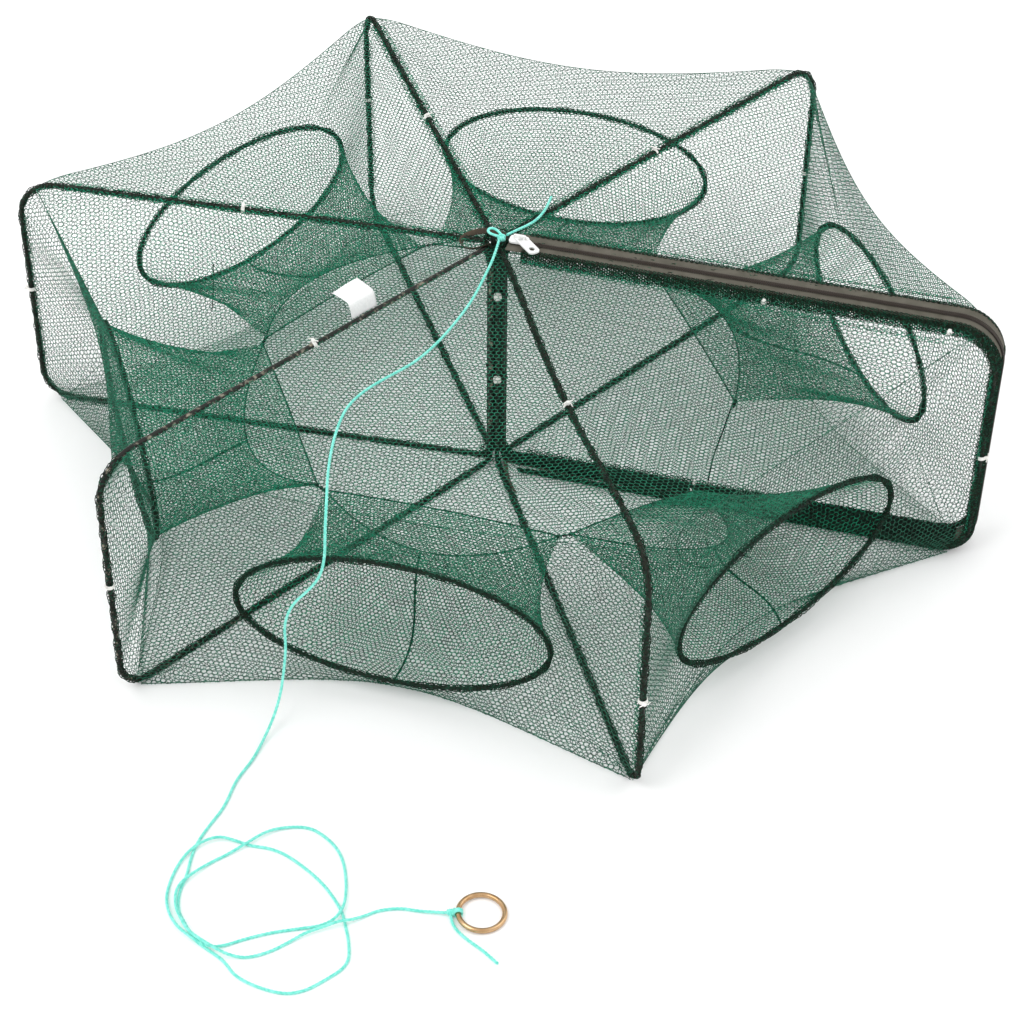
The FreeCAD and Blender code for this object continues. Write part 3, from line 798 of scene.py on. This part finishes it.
def slit_point(sector, w):
    """A funnel's inner end: w runs from 0 to 1 round it, from the second page along the upper lip."""
    a, b = throat_corner(sector[0], 1), throat_corner(sector[1], -1)
    u = np.where(w < 0.5, 1 - 4 * w, 4 * w - 3)
    away, height = LIP_AT[sector]
    lower_lip = unit(middle(sector)) * away + UP * height - (a + b) / 2
    bulge = np.where(w[..., None] < 0.5, UP * SLIT_OPEN, lower_lip) * (1 - u**2)[..., None]
    return (a + b) / 2 + u[..., None] * (b - a) / 2 + bulge


def funnel_point(sector, w, s):
    """A point of the funnel, s of the way from the hoop to the slit."""
    w = w % 1
    t = np.interp(w, HOOP_SHARE, HOOP_TURN)
    inner = (throat_corner(sector[0], 1) + throat_corner(sector[1], -1)) / 2
    heart = hoop_centre(sector) * (1 - s[..., None]) + inner * s[..., None]
    bend = np.sin(math.pi * s)
    spot = hoop_point(sector, t) * (1 - s[..., None]) + slit_point(sector, w) * s[..., None]
    spot = heart + (spot - heart) * (1 - 0.1 * bend)[..., None]
    wave = 1.3 * bend * np.sin(18 * math.pi * w + 3 * s) - 3.0 * bend * (1 + np.maximum(0, -np.sin(t)))
    spot = spot + wave[..., None] * UP
    spot[..., 2] = np.maximum(spot[..., 2], 1.2)
    return spot


def wrapped_cells(rows, around, full_turn=1.0):
    """Ends of the threads of a net wound into a tube, as (way round, share of its length) points."""
    j, i = np.meshgrid(np.arange(rows), np.arange(around), indexing="ij")
    step = full_turn / around
    lower = np.stack([(i + (j % 2) / 2) * step, j / rows], -1).reshape(-1, 2)
    upper = lower + [0, 1 / 1.5 / rows]
    return np.concatenate([
        np.stack([lower, upper], 1),
        np.stack([upper, lower + [step / 2, 1 / rows]], 1),
        np.stack([upper, lower + [-step / 2, 1 / rows]], 1),
    ])


def funnel_threads(sector):
    top_ends = funnel_point(sector, np.array([0.25, 0.25]), np.array([0.0, 1.0]))
    long = float(np.linalg.norm(top_ends[1] - top_ends[0]))
    rows = int(round(long / (1.5 * CELL / math.sqrt(3))))
    bits = wrapped_cells(rows, FUNNEL_CELLS)
    return funnel_point(sector, bits[..., 0], np.clip(bits[..., 1], 0, 1))


def flatten_with_hoop(piece, sector):
    """Makes a piece ride with its hoop, on a mesh of its own."""
    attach(piece, f"entrance_{sector}")
    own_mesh(piece)


def make_nets():
    flat_nets = (
        ("roof", roof_threads, 0.3, net_tones, "covers"),
        ("floor", floor_threads, 0.1, net_tones, "covers"),
        ("wall", wall_threads, 0.5, wall_tones, "wall"),
    )
    for index, sector in enumerate(SECTORS):
        for name, threads_of, turn, tones, node in flat_nets:
            spots = threads_of(sector, turn + 0.37 * index)
            piece, points = net_piece(f"{name}_net_{sector}", spots, tones)
            weigh(piece)
            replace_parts(piece, f"net_{node}_{sector}")
        spots = funnel_threads(sector)
        piece, _ = net_piece(f"funnel_net_{sector}", spots, funnel_tones, FUNNEL_THREAD)
        flatten_with_hoop(piece, sector)
        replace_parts(piece, f"funnel_{sector}")


make_nets()


# Hems round the wires
def outline(start, far, top, low, grow, steps):
    """A rounded page's outline as (out, up) points, from its top by the hub round to its bottom."""
    line = [(start, top)]
    top_radius, low_radius = TOP_CORNER + grow, BOTTOM_CORNER + grow
    for radius, up, first in ((top_radius, top - top_radius, 90), (low_radius, low + low_radius, 0)):
        for a in np.radians(np.linspace(first, first - 90, steps)):
            line.append((far - radius + radius * math.cos(a), up + radius * math.sin(a)))
    line.append((start, low))
    return np.array(line)


def page_line(page, step=2.0):
    """The centre line of a page's wire, from the hub's top round to its bottom."""
    flat = outline(HUB_CORNER, page_length(page), TOP_Z, lowest(page), 0.0, 12)
    points = bar(page) + flat[:, :1] * unit(PAGES[page]) + flat[:, 1:] * UP
    points = even(points, step)[0]
    top = points[:, 2] > TOP_Z - 0.5
    points[top, 2] -= arm_drop(page, (points[top] - bar(page)) @ unit(PAGES[page]))
    return points


def sleeve(line, radius, cell, closed=False):
    """Threads of a net that is wrapped round a line."""
    _, u, v = frames(line, closed)
    length = float(np.linalg.norm(np.diff(line, axis=0), axis=1).sum())
    around = max(5, int(round(2 * math.pi * radius / cell)))
    a = cell / math.sqrt(3)
    rows = int(length / (1.5 * a))
    bits = wrapped_cells(rows, around, 2 * math.pi)
    t = bits[..., 0] + 2.2 * bits[..., 1] * length / 100
    s = np.clip(bits[..., 1], 0, 1) * (len(line) - 1)
    base = s.astype(int).clip(0, len(line) - 2)
    f = (s - base)[..., None]

    def mix(values):
        return values[base] * (1 - f) + values[base + 1] * f

    thick = radius * (1 + 0.16 * np.sin(s / 2.3 + 2 * t) + 0.14 * np.sin(s / 1.3) + 0.08 * np.sin(s / 7.3))
    spots = mix(line) + thick[..., None] * (np.cos(t)[..., None] * mix(u) + np.sin(t)[..., None] * mix(v))
    spots[..., 2] = np.maximum(spots[..., 2], 0.45)
    return spots


def band(line, aside, width, cell):
    """Threads of a narrow net beside a line. aside gives the way across at each point of the line."""
    length = float(np.linalg.norm(np.diff(line, axis=0), axis=1).sum())
    bits = honeycomb((0, length), (0, width), cell=cell, turn=0.5, ripple=0.2)

    def inside(b):
        return np.minimum.reduce([b[..., 0], length - b[..., 0], b[..., 1], width - b[..., 1]])

    bits = clipped(bits, inside)
    s = bits[..., 0] / length * (len(line) - 1)
    base = s.astype(int).clip(0, len(line) - 2)
    f = (s - base)[..., None]
    across = aside[base] * (1 - f) + aside[base + 1] * f
    return line[base] * (1 - f) + line[base + 1] * f + bits[..., 1:] * across


def make_hems():
    for page in PAGES:
        line = page_line(page)
        if page == "e":
            line = line[np.argmax(line[:, 2] < TOP_Z - 2) :]
        piece, _ = net_piece(f"hem_{page}", sleeve(line, HEM_RADIUS, HEM_CELL), hem_tones, HEM_THREAD)
        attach(piece, f"page_{page}")
    for sector in SECTORS:
        line = hoop_point(sector, np.linspace(0, 2 * math.pi, 181))
        piece, _ = net_piece(f"hoop_hem_{sector}", sleeve(line, 2.3, 2.9), hem_tones, 0.42)
        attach(piece, f"entrance_{sector}")


def make_bands():
    """Doubled net along the arms and uprights, and the seams along the roofs' and floors' outer edges."""
    for sector in SECTORS:
        out, side = local(sector)
        spots = []
        for page, way in ((sector[0], 1), (sector[1], -1)):
            along = unit(PAGES[page])
            across = np.array([-along[1], along[0], 0]) * way
            if page not in "ef":
                r = np.linspace(20, 370, 120)
                start = 16.0 if page in "ag" else 2.0
                beside_arm = bar(page) + r[:, None] * along + across * start
                bits = band(beside_arm, np.tile(across, (120, 1)), 5.0, 3.2)
                x, y = bits @ out, bits @ side
                bits[..., 2] = roof_height(sector, x, y) + 0.9
                spots.append(bits)
            if way < 0:
                z = np.linspace(BOTTOM_CORNER, TOP_Z - TOP_CORNER, 80)
                rim = bar(page) + page_length(page) * along + z[:, None] * UP
                aim = hoop_centre(sector) - side * HOOP_HALF[0]
                spots.append(band(rim, norm(aim - rim), 6.0, 3.0))
        piece, points = net_piece(f"net_bands_{sector}", np.concatenate(spots), funnel_tones, 0.36)
        weigh(piece)
        half = half_gap(sector)
        angle = np.linspace(-half * 0.985, half * 0.985, 90)
        seams = []
        for mid, corner, roof in ((ROOF_MID, ROOF_CORNER, True), (FLOOR_MID, FLOOR_CORNER, False)):
            r = edge_radius(angle, half, mid, corner)
            x, y = r * np.cos(angle), r * np.sin(angle)
            z = roof_height(sector, x, y) if roof else np.full(90, 1.3)
            line = lift(sector, x, y, z)
            seams.append(np.stack([line[:-1], line[1:]], 1))
        piece, points = net_piece(f"net_seams_{sector}", np.concatenate(seams), wall_tones, 0.36)
        weigh(piece)


def make_hub_gather():
    """The nets' inner ends, bunched round the top and the bottom of the hub."""
    spots = []
    for low, high, radius in ((212, 233, 8.6), (218, 235, 10.0), (4, 12, 10.8)):
        line = np.stack([np.zeros(20), np.zeros(20), np.linspace(low, high, 20)], 1)
        spots.append(sleeve(line, radius, 3.0))
    piece, _ = net_piece("hub_gather", np.concatenate(spots), hem_tones, 0.45)
    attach(piece, "page_e")


make_hems()
make_bands()
make_hub_gather()


# Ties
def knot(place, along, out, size=1.0):
    """A small tight knot of white cord."""
    turns = helix(place, along, 1.25 * size, 2.2 * size, 2.6, 12)
    over = helix(place + out * 0.6 * size, np.cross(along, out), 1.05 * size, 1.6 * size, 1.8, 12, 1.0)
    return [tube(line, 0.75 * size, 6) for line in (turns, over)]


def tie(centre, along, radius, out):
    """White cord wound round a wire, with its knot and two short ends."""
    cross = np.cross(along, out)
    top = centre + out * (radius + 0.7)
    parts = [tube(helix(centre, along, radius, 2.8, 2.6, 14, 0.7), 0.6, 6)]
    parts += knot(top, along, out, 0.9)
    for side in (-1, 1):
        bend = top + cross * side * 1.8 + out * 1.2
        tip = top + cross * side * 4.2 + along * side * 1.6 + out * 0.8
        parts.append(tube(even(np.array([top, bend, tip]), 0.8)[0], 0.55, 6))
    return parts


def make_ties():
    """The ties of each page. Those on page f also have the two knots that show on the front of the hub."""
    for index, page in enumerate(PAGES):
        out, base = unit(PAGES[page]), bar(page)
        zipped = page in "ag"
        arm, upright = TIE_AT[page]
        on_arm = base + out * arm + UP * (TOP_Z - float(arm_drop(page, arm)))
        at_corner = base + out * ZIP_TIES[0] + UP * TOP_Z
        on_upright = base + out * page_length(page) + UP * upright
        parts = tie(on_arm, out, SNUG_TIE if zipped else LOOSE_TIE, -UP if zipped else UP)
        parts += tie(on_upright, UP, SNUG_TIE if page == "a" else LOOSE_TIE, out)
        if page == "g":
            parts += knot(on_arm - UP * 3.0 - [0, 7.5, 0], out, TAPE_SIDE, 1.25)
            parts += knot(at_corner - UP * 2.0 - [0, 4.0, 0], out, TAPE_SIDE, 1.3)
        if page == "a":
            parts += tie(at_corner, out, SNUG_TIE, -UP)
        if zipped:
            parts += tie(base + out * ZIP_TIES[1] + UP * lowest(page), out, 2.9, UP)
        if page == "f":
            for z in HUB_TIE_HEIGHTS:
                parts += knot(base + UP * (z + 5) + HUB_FRONT * 4.6, UP, HUB_FRONT, 1.8)
        whites = sum(len(f) for _, f in parts)
        for z in HUB_TIE_HEIGHTS:
            turns = helix(base + UP * (z + HUB_TIE_STEP * (index % 4)), UP, 2.5, 1.6, 1.6, 12)
            parts.append(tube(turns, 0.42, 6))
        points, faces = merge(parts)
        points[:, 2] = np.maximum(points[:, 2], 0.05)
        shade = (np.arange(len(faces)) >= whites).astype(int)
        piece = build(f"tie_cords_{page}", points, faces, [white_cord, black_thread], shade, smooth=True)
        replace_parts(piece, f"ties_{page}")
        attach(piece, f"page_{page}")


make_ties()


# Throats
def guy_point(along, z, side=GUY_SIDE):
    """A point of the cord that holds the funnel's corner down, beside page a."""
    return on_page("a", along, z) + [0, side, 0]


GUY_ROUTE = [
    guy_point(*GUY_HEAD),
    guy_point(192.0, 62.0, GUY_SIDE - 1),
    guy_point(185.0, 34.0),
    guy_point(*GUY_FOOT),
]
LOOSE_THREADS = {
    "ab": [GUY_ROUTE],
    "cd": [[(-283, 62, 112), (-279, 50, 103), (-276, 40, 92), (-272, 26, 88)]],
    "fg": [
        [
            (189, -15, 12), (188, -40, 8), (180, -62, 4), (184, -84, 2), (200, -96, 2), (218, -92, 2),
            (225, -78, 2), (232, -70, 3), (247, -78, 9),
        ],
        [(204, -62, 6), (212, -74, 4), (206, -84, 3), (196, -80, 3), (196, -70, 4)],
    ],
}


def make_throats():
    """The cord round each funnel's inner end, the seam under it and the threads that hang there."""
    for sector in SECTORS:
        rim = slit_point(sector, np.linspace(0, 1, 121)[:-1]) - unit(middle(sector)) * 0.5
        share = np.linspace(0.0, 1.0, 50)
        seam = funnel_point(sector, np.full(50, 0.75) + 0.012 * np.sin(5 * share), share) - UP * 0.8
        seam[:, 2] = np.maximum(seam[:, 2], 1.6)
        parts = [tube(rim, 0.6, 6, closed=True)]
        parts.append(tube(seam, 1.0 + 0.25 * np.sin(np.arange(50) * 1.7), 6))
        for page, way in ((sector[0], 1), (sector[1], -1)):
            corner = throat_corner(page, way)
            parts.append(tube(helix(corner, unit(PAGES[page] + 90), 1.3, 3.4, 2.4, 10), 0.55, 6))
        greens = sum(len(f) for _, f in parts)
        for route in LOOSE_THREADS.get(sector, []):
            parts.append(tube(even(route_line("loose", route), 2.0)[0], 0.75 if sector == "ab" else 0.5, 6))
        points, faces = merge(parts)
        points[:, 2] = np.maximum(points[:, 2], 0.05)
        shade = (np.arange(len(faces)) >= greens).astype(int)
        threads_used = [seam_thread, black_thread]
        piece = build(f"throat_lines_{sector}", points, faces, threads_used, shade, smooth=True)
        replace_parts(piece, f"throat_cord_{sector}")
        flatten_with_hoop(piece, sector)
    for page in PAGES:
        along = unit(PAGES[page] + 90)
        heart = on_page(page, *THROAT_CORNERS[page])
        across = tube(np.array([heart - along * 4.6, heart, heart + along * 4.6]), 0.5, 6)
        points, faces = merge([across, tube(helix(heart, along, 1.1, 2.6, 2.2, 10), 0.5, 6)])
        piece = build(f"throat_knot_{page}", points, faces, [black_thread], smooth=True)
        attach(piece, f"page_{page}")


make_throats()


# Zip
def zip_line(grow, step=2.0):
    """A line round the zip pages, a distance outside their wire's middle, in the plane y = 0."""
    flat = outline(ZIP_START, REACH + grow, TOP_Z + grow, ZIP_BOTTOM_Z - grow, grow, 16)
    return even(np.stack([flat[:, 0], np.zeros(len(flat)), flat[:, 1]], 1), step)[0]


def outward(line):
    """Directions away from the zip pages at each point of a line round them."""
    normal = np.cross(norm(np.gradient(line, axis=0)), [0, -1.0, 0])
    return -normal if normal[0][2] < 0 else normal


def tape_spread(line):
    """How much of its width the tape shows: it is gathered along the foot, most of all at the tie."""
    low = (line[:, 2] < 40) & (line[:, 0] < REACH - 8)
    x = line[:, 0]
    foot = 0.5 + 0.4 * np.clip((x - 190) / 120, 0, 1) - 0.32 * np.exp(-(((x - ZIP_TIES[1] - 10) / 22) ** 2))
    foot -= 0.25 * np.exp(-((x / 40) ** 2))
    ease = np.clip((REACH - 8 - x) / 40, 0, 1)
    return np.where(low, 1 + (foot - 1) * ease, 1.0)


def make_tape(page, sign, line, normal):
    """One side of the zip's tape, gently wavy towards its outer edge."""
    spread = tape_spread(line)
    s = np.arange(len(line))
    rows = []
    inner, outer = TAPE_EDGES
    for y in np.linspace(inner, outer, 10):
        edge = (y - inner) / (outer - inner)
        wave = 0.25 * np.sin(s / 9.0 + 3 * edge + sign) * edge + 0.15 * np.sin(s / 3.7 + sign)
        raised = line + normal * (wave * 0.6)[:, None]
        rows.append(raised + (sign * y * spread)[:, None] * np.array([0, 1.0, 0]))
    top = np.stack([r + normal * TAPE_HALF_THICK for r in rows], 1)
    low = np.stack([r - normal * TAPE_HALF_THICK for r in rows], 1)[:, ::-1]
    section = np.concatenate([top, low], 1)
    faces = grid_faces(*section.shape[:2], wrap=True)
    if sign > 0:
        faces = faces[:, ::-1]
    piece = build(f"zip_tape_cloth_{page}", section.reshape(-1, 3), faces, [tape_cloth], smooth=True)
    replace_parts(piece, f"zip_tape_{page}")
    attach(piece, f"page_{page}")


def make_coil(page, sign, line, normal):
    """One side of the zip's coil: a thin wire wound along the tape's inner edge."""
    path, at = even(line + normal * (0.4 + 0.75), COIL_PITCH / 8)
    where = np.linspace(0, at[-1], len(normal))
    norms = norm(np.stack([np.interp(at, where, normal[:, k]) for k in range(3)], 1))
    turn = 2 * math.pi * at / COIL_PITCH + (0 if sign > 0 else math.pi)
    aside = np.array([0, sign, 0]) * (1.5 + 1.3 * np.cos(turn))[:, None]
    coil = path + aside + norms * (0.55 * np.sin(turn))[:, None]
    coil[:, 2] = np.maximum(coil[:, 2], 0.4)
    points, faces = threads(coil[:-1], coil[1:], COIL_WIRE, 4)
    # Painted light and shade: the outer half of each turn gets the lighter tone, the half nearer the tape
    # the darker one.
    shade = np.repeat((np.sin(turn[:-1]) > 0).astype(int), 4)
    piece = build(f"zip_coil_wire_{page}", points, faces, coil_lit_and_shaded_tones, shade)
    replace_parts(piece, f"zip_coil_{page}")
    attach(piece, f"page_{page}")


def make_zip():
    line = zip_line(TAPE_RISE)
    normal = outward(line)
    for page, sign in (("a", 1.0), ("g", -1.0)):
        make_tape(page, sign, line, normal)
        make_coil(page, sign, line, normal)


def make_zip_nets():
    """The net's doubled edges beside the zip, a dark net over the tape's outer upright that paints the
    shade there, and the net's folds over the gathered tape along the foot, in near-black threads that paint
    the shade along the foot.
    """
    for page, sign in (("a", 1.0), ("g", -1.0)):
        line = zip_line(3.6)
        line = line[line[:, 0] > 24]
        s = np.arange(len(line))
        normal = outward(line)
        side = np.array([0, sign, 0])
        if page == "g":
            lean = norm(side * 0.45 - normal + 0.12 * np.sin(s / 6.0)[:, None] * side)
            bits = [band(line + side * 9.4, np.tile(side, (len(line), 1)), 4.6, 2.2)]
            bits += [band(line + side * (13.4 + 0.3 * k), lean, 10.0 - k, 2.0 + 0.3 * k) for k in range(3)]
        else:
            bits = [band(line + side * 11.5, norm(side - normal * 0.3), 6.5, 2.6)]
        # Two layers of dark net cover the whole width of the tape on its outer upright: painted shade on
        # that side.
        tail = line[line[:, 0] > 405]
        tail = tail[tail[:, 2] < 205]
        bits += [band(tail + side * 0.5, np.tile(side, (len(tail), 1)), 13.0, cell) for cell in (2.2, 2.7)]
        # The folds along the foot are drawn in near-black threads: painted shade.
        low = side * 0.3 + UP * 7.4 + np.linspace(14, 408, 150)[:, None] * np.array([1.0, 0, 0])
        wide = tape_spread(low)[:, None] * (side - UP * 0.1)
        folds = [band(low + UP * up, wide, 15.0, cell) for cell, up in ((2.1, 0.0), (2.6, 0.9))]
        folds = np.concatenate(folds)
        bits = np.concatenate(bits)
        bits[..., 2] = np.maximum(bits[..., 2], 0.5)
        for name, spots, tones in (("zip_net", bits, hem_tones), ("zip_fold", folds, foot_shade_fold_tones)):
            piece, _ = net_piece(f"{name}_{page}", spots, tones, 0.45)
            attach(piece, f"page_{page}")


def cloth_strip(name, grid, material):
    """A thin cloth through a grid of points."""
    piece = build(name, grid.reshape(-1, 3), grid_faces(*grid.shape[:2]), [material], smooth=True)
    thick = piece.modifiers.new("thickness", "SOLIDIFY")
    thick.thickness = CLOTH_THICKNESS * MM
    return piece


def make_tape_tails():
    """The zip tape's loose ends: a loop on the hub and a short end at its foot."""
    for name, route, width, body in TAPE_TAILS:
        line = even(route_line(name, route), 1.5)[0]
        aside = norm(np.cross(norm(np.gradient(line, axis=0)), UP) * 0.5 + UP * 0.6)
        across = np.linspace(-width / 2, width / 2, 7)
        piece = cloth_strip(name, line[:, None] + aside[:, None] * across[None, :, None], tail_cloth)
        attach(piece, body)


make_zip()
make_zip_nets()
make_tape_tails()


# Label
def make_label():
    """A ribbon sewn along page e that stands up, folds over and lies back towards the roof."""
    out = unit(PAGES["e"])
    away = np.array([out[1], -out[0], 0])
    section = even(route_line("section", [(a, 0, z) for a, z in LABEL_FOLD]), 0.7)[0]
    v = np.linspace(0, LABEL_WIDTH, 14)
    along = np.linspace(0, 1, len(section))
    grid = bar("e") + (LABEL_START + v)[None, :, None] * out
    grid = grid + section[:, :1][:, None] * away + section[:, 2:][:, None] * UP
    share = (v / LABEL_WIDTH)[None]
    wave = 0.5 * np.sin(share * 4.0) * along[:, None] - 1.2 * (along[:, None] ** 3) * share
    grid = grid + wave[..., None] * UP
    piece = cloth_strip("label_ribbon", grid, ribbon)
    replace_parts(piece, "label_tag")
    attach(piece, "page_e")


make_label()


# Stage and light
def make_stage():
    bpy.ops.mesh.primitive_plane_add(size=14, location=(0, 0, 0))
    floor = bpy.context.object
    floor.name = "floor"
    floor.data.materials.append(principled("floor", (0.95, 0.95, 0.95), 0.6))
    world = bpy.data.worlds.new("studio")
    scene.world = world
    world.use_nodes = True
    world.node_tree.nodes["Background"].inputs["Color"].default_value = (1, 1, 1, 1)
    world.node_tree.nodes["Background"].inputs["Strength"].default_value = 1.12
    lamps = (("key", (-1.2, -1.6, 2.6), 1.8, 28), ("fill", (2.0, 0.6, 2.2), 2.0, 12))
    for name, place, size, power in lamps:
        data = bpy.data.lights.new(name, "AREA")
        data.size = size
        data.energy = power
        lamp = bpy.data.objects.new(name, data)
        scene.collection.objects.link(lamp)
        lamp.location = place
        lamp.rotation_euler = (Vector((0, 0, 0.1)) - Vector(place)).to_track_quat("-Z", "Y").to_euler()
    scene.view_settings.view_transform = "Standard"


make_stage()
